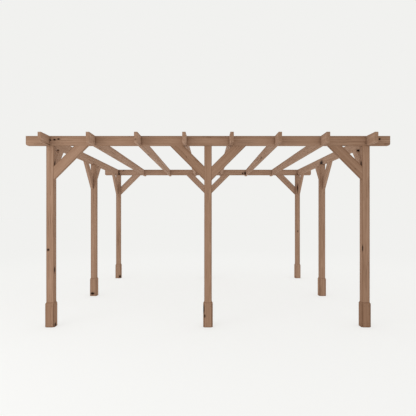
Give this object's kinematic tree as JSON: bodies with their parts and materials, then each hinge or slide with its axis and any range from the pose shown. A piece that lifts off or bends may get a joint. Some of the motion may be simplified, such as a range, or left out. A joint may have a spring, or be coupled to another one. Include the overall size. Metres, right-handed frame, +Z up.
{
  "type": "timber pergola",
  "caption": "Open square timber pergola: posts with cased feet and diagonal braces carry two beams and a row of halved rafters with rounded ends.",
  "frame": {"origin": "the middle of the plan at ground level", "axes": "+Z up; the beams run along X and the rafters along Y; the front row of posts faces -Y"},
  "size_m": [4.8, 4.82, 2.518],
  "materials": {
    "post_timber": "brown treated, fine sawn, matt",
    "board_timber": "brown treated, fine sawn, matt, dark knots",
    "foot_timber": "brown treated, fine sawn, matt"
  },
  "bodies": {
    "root": {"post_front_left": "post_timber", "post_front_centre": "post_timber", "post_front_right": "post_timber", "post_middle_left": "post_timber", "post_middle_right": "post_timber", "post_rear_left": "post_timber", "post_rear_centre": "post_timber", "post_rear_right": "post_timber", "foot_front_left": "foot_timber", "foot_front_centre": "foot_timber", "foot_front_right": "foot_timber", "foot_middle_left": "foot_timber", "foot_middle_right": "foot_timber", "foot_rear_left": "foot_timber", "foot_rear_centre": "foot_timber", "foot_rear_right": "foot_timber", "beam_front": "board_timber", "beam_rear": "board_timber", "rafter_1": "board_timber", "rafter_2": "board_timber", "rafter_3": "board_timber", "rafter_4": "board_timber", "rafter_5": "board_timber", "rafter_6": "board_timber", "rafter_7": "board_timber", "rafter_8": "board_timber", "brace_front_1": "board_timber", "brace_front_2": "board_timber", "brace_front_3": "board_timber", "brace_front_4": "board_timber", "brace_rear_1": "board_timber", "brace_rear_2": "board_timber", "brace_rear_3": "board_timber", "brace_rear_4": "board_timber", "brace_left_1": "board_timber", "brace_left_2": "board_timber", "brace_left_3": "board_timber", "brace_left_4": "board_timber", "brace_right_1": "board_timber", "brace_right_2": "board_timber", "brace_right_3": "board_timber", "brace_right_4": "board_timber"}
  },
  "joints": []
}
